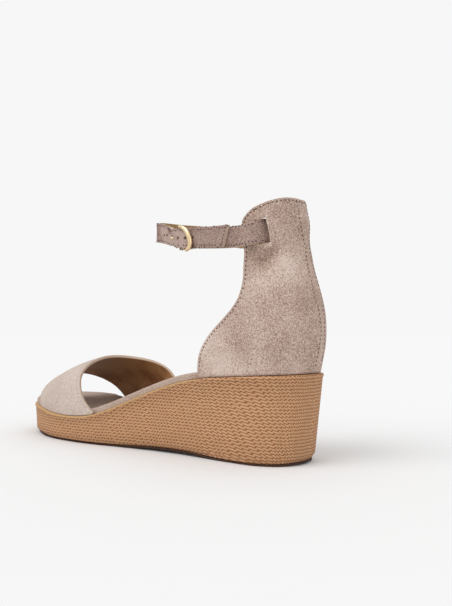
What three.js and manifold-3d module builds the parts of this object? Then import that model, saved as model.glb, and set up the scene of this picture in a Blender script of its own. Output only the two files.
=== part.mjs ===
// A left-foot wedge sandal: open toe, closed high heel counter, one ankle strap with a buckle.
// Millimetres. The floor is z = 0, the toe points to -y and the outer side of the foot to +x.
// "Along" is the distance from the back of the heel towards the toe.
import * as THREE from "three";
import { mergeVertices } from "three/addons/utils/BufferGeometryUtils.js";
import Module from "manifold-3d";

const wasm = await Module();
wasm.setup();

// Driving sizes of the sole
const soleLength = 250;
const ballWidth = 80;
const heelWidth = 57;
const heelHeight = 51.4;
const platformHeight = 17.9;
const rimSpring = 4.6;
const toeLift = 1.6;
const archRise = 1.8;
const heelLift = 1;
const outsoleThickness = 1;
const outsoleInset = 1.6;
const heelUndercut = 6;
const sideUndercut = 3;
const toeUndercut = 1;
const bottomCorner = 1.8;
const rimBand = 2.2;
const rimProud = 0.5;
const soleSteps = 104;

// Driving sizes of the footbed
const footbedThickness = 3.9;
const footbedEdgeRound = 1.3;
const footbedPlay = 0.66;
const seatDish = 1.6;
const seatDishMargin = 11;

// Driving sizes of the upper
const wall = 2;
const upperMargin = 1.4;
const fit = 0.3;
const counterHeight = 102.5;
const wingLength = 66.3;
const vampHeight = 50;

// Driving sizes of the ankle strap and its buckle
const strapWidth = 12.4;
const strapThickness = 1.9;
const strapReach = 121;
const strapHalfWidth = 26;
const strapRise = 81.5;
const strapLift = 12;
const barBehind = 3.6;
const barPlay = 0.5;
const slitAlong = 18.8;
const slitLength = 9;
const slitClearance = 0.9;
const slitLean = 0.22;
const slitSpread = 0.14;
const wingReach = 15;
const wingSag = 2.8;
const holeCount = 6;
const firstHole = 26.1;
const holeSpacing = 5.95;
const holeWidth = 2.2;
const pinnedHole = 3;
const foldLength = 13;
const ringLength = 15;
const ringWire = 1.5;
const ringFace = 2.6;
const ringPlay = 0.6;
const ringLift = 0.2;
const ringLean = 0.4;
const prongWire = 1.1;
const prongPlay = 0.45;
const slotPlay = 0.6;
const prongTip = 3;

// Half widths of the sole as shares of the local width, which grows from heel to ball
const OUTLINE = [
  { turn: 0.0, ball: 0.0, outer: 0.0, inner: 0.0 },
  { turn: 0.1, ball: 0.0, outer: 0.302, inner: 0.302 },
  { turn: 0.2, ball: 0.0, outer: 0.486, inner: 0.486 },
  { turn: 0.3, ball: 0.0, outer: 0.514, inner: 0.474 },
  { turn: 0.4, ball: 0.25, outer: 0.478, inner: 0.39 },
  { turn: 0.5, ball: 0.6, outer: 0.487, inner: 0.374 },
  { turn: 0.6, ball: 1.0, outer: 0.512, inner: 0.448 },
  { turn: 0.7, ball: 1.0, outer: 0.506, inner: 0.481 },
  { turn: 0.8, ball: 1.0, outer: 0.381, inner: 0.419 },
  { turn: 0.9, ball: 1.0, outer: 0.19, inner: 0.256 },
  { turn: 1.0, ball: 1.0, outer: 0.0, inner: 0.0 },
];

// Side view of the sole: rise is the share of the step from platform to heel, the other
// columns are shares of rimSpring, archRise, heelLift and toeLift
const PROFILE = [
  { along: 0.0, rise: 1.0, spring: 0.0, arch: 0.0, heel: 1.0, toe: 0.0 },
  { along: 0.04, rise: 0.987, spring: 0.0, arch: 0.0, heel: 0.2, toe: 0.0 },
  { along: 0.08, rise: 0.974, spring: 0.0, arch: 0.0, heel: 0.0, toe: 0.0 },
  { along: 0.13, rise: 0.955, spring: 0.0, arch: 0.0, heel: 0.0, toe: 0.0 },
  { along: 0.2, rise: 0.92, spring: 0.0, arch: 0.1, heel: 0.0, toe: 0.0 },
  { along: 0.25, rise: 0.885, spring: 0.0, arch: 0.45, heel: 0.0, toe: 0.0 },
  { along: 0.3, rise: 0.83, spring: 0.0, arch: 0.85, heel: 0.0, toe: 0.0 },
  { along: 0.34, rise: 0.762, spring: 0.0, arch: 0.97, heel: 0.0, toe: 0.0 },
  { along: 0.38, rise: 0.672, spring: 0.0, arch: 1.0, heel: 0.0, toe: 0.0 },
  { along: 0.42, rise: 0.567, spring: 0.0, arch: 0.9, heel: 0.0, toe: 0.0 },
  { along: 0.46, rise: 0.455, spring: 0.0, arch: 0.7, heel: 0.0, toe: 0.0 },
  { along: 0.5, rise: 0.34, spring: 0.0, arch: 0.4, heel: 0.0, toe: 0.0 },
  { along: 0.54, rise: 0.222, spring: 0.0, arch: 0.15, heel: 0.0, toe: 0.0 },
  { along: 0.58, rise: 0.118, spring: 0.0, arch: 0.0, heel: 0.0, toe: 0.0 },
  { along: 0.62, rise: 0.045, spring: 0.0, arch: 0.0, heel: 0.0, toe: 0.0 },
  { along: 0.66, rise: 0.01, spring: 0.0, arch: 0.0, heel: 0.0, toe: 0.0 },
  { along: 0.7, rise: 0.0, spring: 0.0, arch: 0.0, heel: 0.0, toe: 0.0 },
  { along: 0.74, rise: 0.0, spring: 0.06, arch: 0.0, heel: 0.0, toe: 0.0 },
  { along: 0.78, rise: 0.0, spring: 0.22, arch: 0.0, heel: 0.0, toe: 0.05 },
  { along: 0.83, rise: 0.0, spring: 0.58, arch: 0.0, heel: 0.0, toe: 0.25 },
  { along: 0.9, rise: 0.0, spring: 0.86, arch: 0.0, heel: 0.0, toe: 0.6 },
  { along: 1.0, rise: 0.0, spring: 1.0, arch: 0.0, heel: 0.0, toe: 1.0 },
];

// The heel counter by height above the rim: back is the place of its back seam as a share of
// heelWidth, across and deep scale the heel's outline, front is the front edge as a share of wingLength
const COUNTER = [
  { up: 0.0, back: 0.006, across: 1.0, deep: 1.0, front: 0.99 },
  { up: 0.039, back: -0.006, across: 1.0, deep: 1.0, front: 0.99 },
  { up: 0.097, back: -0.036, across: 1.01, deep: 1.01, front: 0.977 },
  { up: 0.162, back: -0.059, across: 1.015, deep: 1.02, front: 0.925 },
  { up: 0.197, back: -0.063, across: 1.02, deep: 1.02, front: 0.875 },
  { up: 0.263, back: -0.066, across: 1.02, deep: 1.02, front: 0.768 },
  { up: 0.335, back: -0.057, across: 1.015, deep: 1.0, front: 0.63 },
  { up: 0.391, back: -0.037, across: 1.0, deep: 0.98, front: 0.553 },
  { up: 0.446, back: -0.01, across: 0.985, deep: 0.96, front: 0.505 },
  { up: 0.509, back: 0.022, across: 0.965, deep: 0.94, front: 0.49 },
  { up: 0.591, back: 0.072, across: 0.945, deep: 0.92, front: 0.487 },
  { up: 0.69, back: 0.105, across: 0.92, deep: 0.9, front: 0.489 },
  { up: 0.754, back: 0.128, across: 0.895, deep: 0.88, front: 0.505 },
  { up: 0.815, back: 0.122, across: 0.87, deep: 0.87, front: 0.525 },
  { up: 0.853, back: 0.122, across: 0.855, deep: 0.86, front: 0.535 },
  { up: 0.887, back: 0.135, across: 0.84, deep: 0.85, front: 0.54 },
  { up: 0.934, back: 0.158, across: 0.815, deep: 0.83, front: 0.54 },
  { up: 1.0, back: 0.177, across: 0.79, deep: 0.81, front: 0.54 },];

// Top edge of the counter from the back seam (0) to the front edge (1), as a share of its height
const COUNTER_TOP = [
  { around: 0.0, up: 0.984 },
  { around: 0.2, up: 0.988 },
  { around: 0.4, up: 0.982 },
  { around: 0.6, up: 0.966 },
  { around: 0.8, up: 0.938 },
  { around: 0.9, up: 0.912 },
  { around: 1.0, up: 0.86 },
];

// Crest of the last over the rim at the vamp, as a share of vampHeight
const LAST = [
  { along: 0.5, height: 1.1 },
  { along: 0.55, height: 1.01 },
  { along: 0.6, height: 0.925 },
  { along: 0.66, height: 0.845 },
  { along: 0.73, height: 0.79 },
  { along: 0.78, height: 0.725 },
  { along: 0.83, height: 0.625 },
  { along: 0.87, height: 0.535 },
  { along: 0.91, height: 0.44 },
];

// Section of the last from its outer foot (0) over the toes to its inner foot (1),
// as shares of the outline's half width and of the crest
const SECTION = [
  { around: 0.0, across: 1.0, up: 0.0 },
  { around: 0.05, across: 1.0, up: 0.09 },
  { around: 0.1, across: 0.993, up: 0.195 },
  { around: 0.15, across: 0.955, up: 0.31 },
  { around: 0.2, across: 0.89, up: 0.42 },
  { around: 0.26, across: 0.795, up: 0.53 },
  { around: 0.33, across: 0.66, up: 0.65 },
  { around: 0.4, across: 0.475, up: 0.785 },
  { around: 0.48, across: 0.2, up: 0.925 },
  { around: 0.56, across: -0.12, up: 1.0 },
  { around: 0.64, across: -0.41, up: 0.965 },
  { around: 0.71, across: -0.64, up: 0.86 },
  { around: 0.78, across: -0.84, up: 0.7 },
  { around: 0.85, across: -0.96, up: 0.5 },
  { around: 0.92, across: -1.0, up: 0.27 },
  { around: 1.0, across: -1.0, up: 0.0 },
];

// Front and rear edges of the vamp from its outer foot (0) over the toes to its inner foot (1)
const VAMP_EDGES = [
  { around: 0.0, front: 0.85, rear: 0.598 },
  { around: 0.05, front: 0.857, rear: 0.615 },
  { around: 0.1, front: 0.863, rear: 0.632 },
  { around: 0.15, front: 0.869, rear: 0.65 },
  { around: 0.2, front: 0.875, rear: 0.667 },
  { around: 0.26, front: 0.883, rear: 0.687 },
  { around: 0.33, front: 0.892, rear: 0.71 },
  { around: 0.4, front: 0.9, rear: 0.729 },
  { around: 0.48, front: 0.906, rear: 0.738 },
  { around: 0.56, front: 0.91, rear: 0.73 },
  { around: 0.64, front: 0.906, rear: 0.693 },
  { around: 0.71, front: 0.898, rear: 0.647 },
  { around: 0.78, front: 0.885, rear: 0.607 },
  { around: 0.85, front: 0.864, rear: 0.57 },
  { around: 0.92, front: 0.83, rear: 0.539 },
  { around: 1.0, front: 0.787, rear: 0.514 },
];

// Free parts of the ankle strap: along as a share of strapReach, out of strapHalfWidth, up of strapLift
// above the height of the slits, layer 1 lies over layer 0, lean is how far the upper edge runs ahead
const STRAP_REAR = [
  { along: 0.63, out: 0.97, up: 0.02, layer: 0, lean: 0 },
  { along: 0.55, out: 0.985, up: -0.08, layer: 0, lean: 0 },
  { along: 0.46, out: 1.0, up: -0.16, layer: 0, lean: 0 },
  { along: 0.37, out: 1.0, up: -0.22, layer: 0, lean: 0 },
];
const STRAP_FRONT = [
  { along: 0.36, out: -1.0, up: -0.1, layer: 0, lean: 0 },
  { along: 0.46, out: -1.02, up: 0.14, layer: 0, lean: 0 },
  { along: 0.58, out: -1.01, up: 0.35, layer: 0, lean: 0 },
  { along: 0.7, out: -0.98, up: 0.55, layer: 0, lean: 0 },
  { along: 0.82, out: -0.93, up: 0.76, layer: 0, lean: 0 },
  { along: 0.92, out: -0.8, up: 0.9, layer: 0, lean: 0 },
  { along: 0.98, out: -0.54, up: 0.94, layer: 0, lean: 0 },
  { along: 0.995, out: -0.18, up: 0.93, layer: 0, lean: 0 },
  { along: 0.98, out: 0.18, up: 0.86, layer: 0, lean: 0 },
  { along: 0.945, out: 0.5, up: 0.73, layer: 0, lean: 0 },
  { along: 0.89, out: 0.73, up: 0.58, layer: 0, lean: 0 },
  { along: 0.835, out: 0.82, up: 0.46, layer: 0, lean: 0 },
  { along: 0.79, out: 0.85, up: 0.32, layer: 0, lean: 0.1 },
  { along: 0.752, out: 0.87, up: 0.2, layer: 0, lean: 0.3 },
  { along: 0.729, out: 0.88, up: 0.1, layer: 0.5, lean: 0.4 },
  { along: 0.713, out: 0.9, up: 0.06, layer: 1.25, lean: 0.4 },
  { along: 0.698, out: 0.93, up: 0.03, layer: 1.6, lean: 0.4 },
  { along: 0.673, out: 0.95, up: 0.01, layer: 1.6, lean: 0.35 },
  { along: 0.64, out: 0.975, up: -0.02, layer: 1.3, lean: 0.15 },
  { along: 0.59, out: 0.985, up: -0.06, layer: 1.1, lean: 0 },
  { along: 0.52, out: 0.995, up: -0.1, layer: 1.05, lean: 0 },
  { along: 0.44, out: 1.0, up: -0.15, layer: 1, lean: -0.1 },
  { along: 0.355, out: 1.0, up: -0.17, layer: 1, lean: -0.3 },
];

// Finish colours
const suede = new THREE.MeshStandardMaterial({ color: 0xb5a195, roughness: 0.95 });
const paleSuede = new THREE.MeshStandardMaterial({ color: 0xcbbcb0, roughness: 0.95 });
const braid = new THREE.MeshStandardMaterial({ color: 0xc4976c, roughness: 0.75 });
const rubber = new THREE.MeshStandardMaterial({ color: 0x6b4a33, roughness: 0.85 });
const gilt = new THREE.MeshStandardMaterial({ color: 0xd9b16f, roughness: 0.25, metalness: 1 });

const mix = (a, b, share) => a + (b - a) * share;
const clamp = (value, low, high) => Math.min(high, Math.max(low, value));
const ease = (low, high, value) => {
  const t = clamp((value - low) / (high - low), 0, 1);
  return t * t * (3 - 2 * t);
};

// Smooth value of one column of a table at a place between its rows.
function read(rows, key, name, at) {
  const last = rows.length - 1;
  const place = clamp(at, rows[0][key], rows[last][key]);
  let i = 0;
  while (i < last - 1 && rows[i + 1][key] < place) i += 1;
  const slope = (k) => {
    const before = rows[Math.max(k - 1, 0)];
    const after = rows[Math.min(k + 1, last)];
    return (after[name] - before[name]) / (after[key] - before[key]);
  };
  const span = rows[i + 1][key] - rows[i][key];
  const t = (place - rows[i][key]) / span;
  const [a, b] = [rows[i][name], rows[i + 1][name]];
  const [slopeA, slopeB] = [slope(i) * span, slope(i + 1) * span];
  const cubic = 2 * (a - b) + slopeA + slopeB;
  const square = 3 * (b - a) - 2 * slopeA - slopeB;
  return ((cubic * t + square) * t + slopeA) * t + a;
}

// Turn of the outline's round, from the heel (0) to the toe (1), that lies at a place along the sole.
const turnAt = (along) => Math.acos(clamp(1 - (2 * along) / soleLength, -1, 1)) / Math.PI;
const alongAt = (turn) => ((1 - Math.cos(Math.PI * turn)) / 2) * soleLength;

// Half widths mirrored past the heel and the toe, so that the outline closes without a corner.
const OUTLINE_ROUND = [
  ...OUTLINE.slice(1, 3).reverse().map((r) => ({ turn: -r.turn, half: -half(r, "inner") })),
  ...OUTLINE.map((r) => ({ turn: r.turn, half: half(r, "outer") })),
  ...OUTLINE.slice(1, -1).reverse().map((r) => ({ turn: 2 - r.turn, half: -half(r, "inner") })),
  { turn: 2, half: 0 },
  ...OUTLINE.slice(1, 3).map((r) => ({ turn: 2 + r.turn, half: half(r, "outer") })),
];

function half(row, side) {
  return row[side] * mix(heelWidth, ballWidth, row.ball);
}

// Point of the sole's outline, moved in by an inset. The outer side is turn 0 to 1, the inner 1 to 2.
function outline(turn, inset) {
  const plain = (t) => new THREE.Vector2(read(OUTLINE_ROUND, "turn", "half", t), -alongAt(t));
  const step = 0.004;
  const point = plain(turn);
  const run = plain(turn + step).sub(plain(turn - step)).normalize();
  return point.add(new THREE.Vector2(run.y, -run.x).multiplyScalar(inset));
}

// Heights of the sole's top rim and of its underside
const rimHeight = (along) => {
  const share = along / soleLength;
  const rise = read(PROFILE, "along", "rise", share);
  const spring = read(PROFILE, "along", "spring", share);
  return mix(platformHeight, heelHeight, rise) + rimSpring * spring;
};
const underside = (along) => {
  const share = along / soleLength;
  return (
    archRise * read(PROFILE, "along", "arch", share) +
    heelLift * read(PROFILE, "along", "heel", share) +
    toeLift * read(PROFILE, "along", "toe", share)
  );
};

// A mesh's geometry from a list of points and a list of triangles.
function shell(points, triangles) {
  const geometry = new THREE.BufferGeometry();
  const flat = points.flatMap((p) => [p.x, p.y, p.z]);
  geometry.setAttribute("position", new THREE.Float32BufferAttribute(flat, 3));
  geometry.setIndex(triangles.flat());
  return geometry;
}

// A body through closed rings of equal count, whose two ends are closed straight across the sole.
function loft(rings) {
  const count = rings[0].length;
  const triangles = [];
  const corner = (ring, i) => ring * count + (i % count);
  for (let ring = 0; ring + 1 < rings.length; ring += 1) {
    for (let i = 0; i < count; i += 1) {
      const [a, b] = [corner(ring, i), corner(ring, i + 1)];
      const [c, d] = [corner(ring + 1, i + 1), corner(ring + 1, i)];
      triangles.push([a, c, b], [a, d, c]);
    }
  }
  const top = rings.length - 1;
  for (let i = 0; i < count / 2; i += 1) {
    const across = (count - i) % count;
    const next = count - i - 1;
    for (const [ring, first, second] of [[0, i, i + 1], [top, i + 1, i]]) {
      const [far, farNext] = first === i ? [across, next] : [next, across];
      if (first !== far) triangles.push([corner(ring, first), corner(ring, second), corner(ring, far)]);
      if (second !== farNext) triangles.push([corner(ring, second), corner(ring, farNext), corner(ring, far)]);
    }
  }
  return shell(rings.flat(), triangles);
}

// Turns of a ring round the sole: even steps, and the places where the ring changes, on both sides.
function turnsRound(places = []) {
  const steps = soleSteps / 2;
  const even = Array.from({ length: steps + 1 }, (_, i) => i / steps);
  const own = places.map(turnAt);
  const kept = even.filter((turn) => own.every((place) => Math.abs(place - turn) > 0.3 / steps));
  const side = [...kept, ...own].sort((a, b) => a - b);
  return [...side, ...side.slice(1, -1).reverse().map((turn) => 2 - turn)];
}

// A closed ring of the sole: an inset of the outline and a height, both given by the place.
function soleRing(turns, insetAt, heightAt) {
  return turns.map((turn) => {
    const point = outline(turn, insetAt(turn));
    return new THREE.Vector3(point.x, point.y, heightAt(alongAt(turn)));
  });
}

// A wall over a grid of places: its outer face is given, its inner face lies one thickness behind.
function sheet(columns, rows, thickness, facing, pointAt) {
  const outer = [];
  const inner = [];
  const step = 0.002;
  for (let j = 0; j <= rows; j += 1) {
    for (let i = 0; i <= columns; i += 1) {
      const [u, v] = [i / columns, j / rows];
      const point = pointAt(u, v);
      const [u0, u1] = [Math.max(u - step, 0), Math.min(u + step, 1)];
      const [v0, v1] = [Math.max(v - step, 0), Math.min(v + step, 1)];
      const alongU = pointAt(u1, v).sub(pointAt(u0, v));
      const alongV = pointAt(u, v1).sub(pointAt(u, v0));
      const normal = alongU.cross(alongV).normalize().multiplyScalar(facing);
      outer.push(point);
      inner.push(point.clone().addScaledVector(normal, -thickness));
    }
  }
  const wide = columns + 1;
  const back = outer.length;
  const triangles = [];
  const quad = (a, b, c, d) => {
    const turned = facing > 0 ? [[a, b, c], [a, c, d]] : [[a, c, b], [a, d, c]];
    triangles.push(...turned);
  };
  for (let j = 0; j < rows; j += 1) {
    for (let i = 0; i < columns; i += 1) {
      const a = j * wide + i;
      quad(a, a + 1, a + wide + 1, a + wide);
      quad(back + a, back + a + wide, back + a + wide + 1, back + a + 1);
    }
  }
  for (let i = 0; i < columns; i += 1) {
    const far = rows * wide + i;
    quad(i, back + i, back + i + 1, i + 1);
    quad(far, far + 1, back + far + 1, back + far);
  }
  for (let j = 0; j < rows; j += 1) {
    const [a, b] = [j * wide, (j + 1) * wide];
    quad(a, b, back + b, back + a);
    quad(a + columns, back + a + columns, back + b + columns, b + columns);
  }
  return shell([...outer, ...inner], triangles);
}

// Boolean cut of a closed geometry by solids.
function solid(geometry) {
  const plain = geometry.clone();
  plain.deleteAttribute("normal");
  plain.deleteAttribute("uv");
  const merged = mergeVertices(plain, 1e-4);
  return new wasm.Manifold(
    new wasm.Mesh({
      numProp: 3,
      vertProperties: new Float32Array(merged.attributes.position.array),
      triVerts: new Uint32Array(merged.index.array),
    }),
  );
}
function cut(geometry, cutters) {
  const left = cutters.reduce((body, cutter) => body.subtract(cutter), solid(geometry));
  const mesh = left.getMesh();
  const result = new THREE.BufferGeometry();
  result.setAttribute("position", new THREE.BufferAttribute(mesh.vertProperties, 3));
  result.setIndex(new THREE.BufferAttribute(mesh.triVerts, 1));
  return result;
}

// Outsole: a thin rubber sheet under the wedge, flat under the heel and under the ball
const outsoleRing = (edge, height) =>
  soleRing(
    turnsRound(),
    (turn) => undercut(turn) + outsoleInset + edge,
    (along) => underside(along) + height,
  );
const outsole = loft([
  outsoleRing(0, 0),
  outsoleRing(0, outsoleThickness),
]);

// Inset of the wedge's foot under its rim: most at the back of the heel and at the toe.
function undercut(turn) {
  const place = turn > 1 ? 2 - turn : turn;
  const atHeel = 1 - ease(0.02, 0.3, place);
  const atToe = ease(0.62, 0.95, place);
  return sideUndercut + (heelUndercut - sideUndercut) * atHeel + (toeUndercut - sideUndercut) * atToe;
}

// Wedge: one body from the outsole up to the rim, whose band stands a little proud of the braid
const sideWall = [0.93, 0.65, 0.3, 0.0];
function wedge() {
  const turns = turnsRound();
  const foot = (along) => underside(along) + outsoleThickness + fit;
  const band = (along) => rimHeight(along) - rimBand;
  return loft([
    soleRing(turns, (turn) => undercut(turn) + bottomCorner, foot),
    ...sideWall.map((share) =>
      soleRing(
        turns,
        (turn) => mix(rimProud, undercut(turn), share),
        (along) => mix(band(along), foot(along), share),
      ),
    ),
    soleRing(turns, () => 0, (along) => band(along) + rimProud),
    soleRing(turns, () => 0, (along) => rimHeight(along) - rimProud),
    soleRing(turns, () => rimProud, rimHeight),
  ]);
}

// Footbed: a padded sheet on the wedge, drawn in where the upper's walls stand beside it
const underUpper = upperMargin + wall + footbedPlay;
const edgeGap = 1;
const clearOfEdge = 4;
const footReach = 0.07;
const vampFoot = (side) => {
  const last = VAMP_EDGES.length - 1;
  return {
    rear: VAMP_EDGES[side > 0 ? 0 : last].rear * soleLength,
    front: read(VAMP_EDGES, "around", "front", side > 0 ? footReach : 1 - footReach) * soleLength,
  };
};
function footbedInset(turn) {
  const foot = vampFoot(turn > 1 ? -1 : 1);
  const along = alongAt(turn);
  const behindCounter = ease(wingLength + edgeGap, wingLength + clearOfEdge, along);
  const beforeVamp = 1 - ease(foot.rear - clearOfEdge, foot.rear - edgeGap, along);
  const pastVamp = ease(foot.front + edgeGap, foot.front + clearOfEdge, along);
  return mix(underUpper, upperMargin, Math.max(behindCounter * beforeVamp, pastVamp));
}
function footbed() {
  const feet = [vampFoot(1), vampFoot(-1)];
  const steps = [edgeGap, clearOfEdge];
  const turns = turnsRound([
    ...steps.map((step) => wingLength + step),
    ...feet.flatMap((foot) => steps.flatMap((step) => [foot.rear - step, foot.front + step])),
  ]);
  const ring = (edge, height) =>
    soleRing(
      turns,
      (turn) => footbedInset(turn) + edge,
      (along) => rimHeight(along) + fit + height,
    );
  return loft([
    ring(0, 0),
    ring(0, footbedThickness - footbedEdgeRound),
    ring(footbedEdgeRound, footbedThickness),
    ring(seatDishMargin, footbedThickness - seatDish),
  ]);
}

// Place of the heel counter's outer face at a height: turn of the heel's outline, side and share of height.
function counterPlan(turn, side, up) {
  const across = read(COUNTER, "up", "across", up);
  const deep = read(COUNTER, "up", "deep", up);
  const back = read(COUNTER, "up", "back", up) * heelWidth;
  const base = outline(side > 0 ? turn : 2 - turn, upperMargin);
  return new THREE.Vector2(base.x * across, -back + base.y * deep);
}
function counterTurn(along, up) {
  const deep = read(COUNTER, "up", "deep", up);
  const back = read(COUNTER, "up", "back", up) * heelWidth;
  return turnAt((along - back) / deep);
}
function counterPoint(around, side, rise) {
  const baseAlong = alongAt(around * turnAt(wingLength));
  const base = rimHeight(baseAlong) + fit;
  const top = heelHeight + counterHeight * read(COUNTER_TOP, "around", "up", around);
  const z = mix(base, top, rise);
  const up = (z - heelHeight) / counterHeight;
  const front = read(COUNTER, "up", "front", up) * wingLength;
  const plan = counterPlan(around * counterTurn(front, up), side, up);
  return new THREE.Vector3(plan.x, plan.y, z);
}

// Place at a height beside the strap's middle line and at an offset out of the counter's outer face
const strapMiddle = heelHeight + strapRise;
function onCounter(side, along, off, edge) {
  const up = (strapRise + edge) / counterHeight;
  const turn = counterTurn(along, up);
  const step = 0.01;
  const run = counterPlan(turn + step, side, up).sub(counterPlan(turn - step, side, up)).normalize();
  const out = new THREE.Vector2(-run.y, run.x).multiplyScalar(side * off);
  const point = counterPlan(turn, side, up).add(out);
  return new THREE.Vector3(point.x, point.y, strapMiddle + edge);
}

// Place of the strap on a wing: it spreads and leans at the slit, and sags away from it
function onWing(side, along, off, edge) {
  const away = ease(slitAlong, slitAlong + wingReach, along);
  const spread = 1 + slitSpread * (1 - away);
  return onCounter(side, along + slitLean * edge * (1 - away), off, edge * spread - wingSag * away);
}

// Slit of a wing: a window square through the wall, a little taller than the strap
function slit(side) {
  const reach = strapWidth / 2 + slitClearance;
  const corners = [slitAlong, slitAlong + slitLength].flatMap((along) =>
    [-reach, reach].flatMap((edge) => [-3 * wall, 2 * wall].map((off) => onWing(side, along, off, edge))),
  );
  return wasm.Manifold.hull(corners.map((p) => [p.x, p.y, p.z]));
}
function heelCounter() {
  const round = (u) => 1 - 2 * u;
  const wallSheet = sheet(44, 16, wall, 1, (u, v) =>
    counterPoint(Math.abs(round(u)), round(u) >= 0 ? 1 : -1, v),
  );
  return cut(wallSheet, [slit(1), slit(-1)]);
}

// Vamp: the last's surface between two edges, from foot to foot over the toes
function vampPoint(around, back) {
  const front = read(VAMP_EDGES, "around", "front", around);
  const rear = read(VAMP_EDGES, "around", "rear", around);
  const along = mix(front, rear, back) * soleLength;
  const turn = turnAt(along);
  const outer = outline(turn, upperMargin);
  const inner = outline(2 - turn, upperMargin);
  const middle = (outer.x + inner.x) / 2;
  const halfSpan = (outer.x - inner.x) / 2;
  const crest = vampHeight * read(LAST, "along", "height", along / soleLength);
  return new THREE.Vector3(
    middle + halfSpan * read(SECTION, "around", "across", around),
    -along,
    rimHeight(along) + fit + crest * read(SECTION, "around", "up", around),
  );
}
const vamp = () => sheet(44, 10, wall, -1, vampPoint);

// Ankle strap: one strip from its fold on the buckle's bar back through the outer slit, round inside
// the counter, out of the inner slit, round the front of the ankle and back over itself
const layerStep = strapThickness + fit;
const tailEnd = STRAP_FRONT[STRAP_FRONT.length - 1].along * strapReach;
const barAlong = tailEnd + firstHole + pinnedHole * holeSpacing - barBehind;
const barRoom = (ringWire + strapThickness) / 2 + barPlay;
const barOut = STRAP_REAR[0].out * strapHalfWidth - barRoom;
function foldPoints(edge) {
  const z = strapMiddle + edge;
  const bar = -barAlong - ringLean * edge;
  const quarters = [-2, -1, 0, 1, 2].map((k) => (k * Math.PI) / 4);
  return [
    new THREE.Vector3(STRAP_REAR[1].out * strapHalfWidth - layerStep, foldLength - barAlong, z),
    new THREE.Vector3(barOut - barRoom, foldLength / 3 + bar, z),
    ...quarters.map(
      (angle) => new THREE.Vector3(barOut + barRoom * Math.sin(angle), bar - barRoom * Math.cos(angle), z),
    ),
  ];
}
function freePoint(row, edge) {
  return new THREE.Vector3(
    row.out * strapHalfWidth + row.layer * layerStep,
    -row.along * strapReach - row.lean * edge,
    strapMiddle + row.up * strapLift + edge,
  );
}
const strapPlay = 2 * fit;
const throughSlit = { outside: 0.85, middle: 0.5, inside: 0.15 };
const quarterShare = 0.7;
function strapEdge(edge) {
  const outside = strapPlay + strapThickness / 2;
  const inside = -(wall + strapPlay + strapThickness / 2);
  const wing = (side) => [
    onWing(side, slitAlong + wingReach, outside, edge),
    onWing(side, slitAlong + slitLength * throughSlit.outside, outside, edge),
    onWing(side, slitAlong + slitLength * throughSlit.middle, (outside + inside) / 2, edge),
    onWing(side, slitAlong + slitLength * throughSlit.inside, inside, edge),
  ];
  const back = onCounter(1, 0, inside, edge);
  const quarter = (side) => onCounter(side, slitAlong * quarterShare, inside, edge);
  return new THREE.CatmullRomCurve3([
    ...foldPoints(edge),
    ...STRAP_REAR.map((row) => freePoint(row, edge)),
    ...wing(1),
    quarter(1),
    back,
    quarter(-1),
    ...wing(-1).reverse(),
    ...STRAP_FRONT.map((row) => freePoint(row, edge)),
  ]);
}
const strapLow = strapEdge(-strapWidth / 2);
const strapHigh = strapEdge(strapWidth / 2);

// Middle of the strap's thickness at a share of its route, and the way out of its face there
const strapPoint = (u, v) => strapLow.getPoint(u).lerp(strapHigh.getPoint(u), v);
function strapOut(u) {
  const step = 0.001;
  const run = strapPoint(Math.min(u + step, 1), 0.5).sub(strapPoint(Math.max(u - step, 0), 0.5));
  return run.cross(strapPoint(u, 1).sub(strapPoint(u, 0))).normalize();
}

// Share of the strap's route at a distance from the end of its tail
function strapShare(distance) {
  const step = 0.0005;
  let share = 1;
  let travelled = 0;
  while (travelled < distance) {
    travelled += strapPoint(share, 0.5).distanceTo(strapPoint(share - step, 0.5));
    share -= step;
  }
  return share;
}
function strapHole(index) {
  const share = strapShare(firstHole + index * holeSpacing);
  const middle = strapPoint(share, 0.5);
  const axis = index === pinnedHole ? pinned.clone().sub(prongLeave).normalize() : strapOut(share);
  const punch = new THREE.CylinderGeometry(holeWidth / 2, holeWidth / 2, 2 * layerStep, 10);
  punch.applyQuaternion(new THREE.Quaternion().setFromUnitVectors(new THREE.Vector3(0, 1, 0), axis));
  punch.translate(middle.x, middle.y, middle.z);
  return solid(punch);
}

// Prong's eye round the bar, and the place where the prong leaves it for the pinned hole
const pinned = strapPoint(strapShare(firstHole + pinnedHole * holeSpacing), 0.5);
const eye = (ringWire + prongWire) / 2 + prongPlay;
const pinnedTurn = Math.atan2(pinned.x - barOut, pinned.y + barAlong);
const leaveTurn = pinnedTurn - Math.acos(eye / Math.hypot(pinned.x - barOut, pinned.y + barAlong));
const eyePoint = (turn) =>
  new THREE.Vector3(barOut + eye * Math.sin(turn), -barAlong + eye * Math.cos(turn), strapMiddle);
const prongLeave = eyePoint(leaveTurn);

// Slot of the fold, where the prong's eye goes round the bar
function prongSlot() {
  const reach = barRoom + strapThickness;
  const slot = new THREE.BoxGeometry(2 * reach, 2 * reach, prongWire + 2 * slotPlay);
  slot.translate(barOut, -barAlong, strapMiddle);
  return solid(slot);
}
function ankleStrap() {
  const strip = sheet(150, 1, strapThickness, 1, (u, v) =>
    strapPoint(u, v).addScaledVector(strapOut(u), strapThickness / 2),
  );
  return cut(strip, [prongSlot(), ...Array.from({ length: holeCount }, (_, i) => strapHole(i))]);
}

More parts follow.
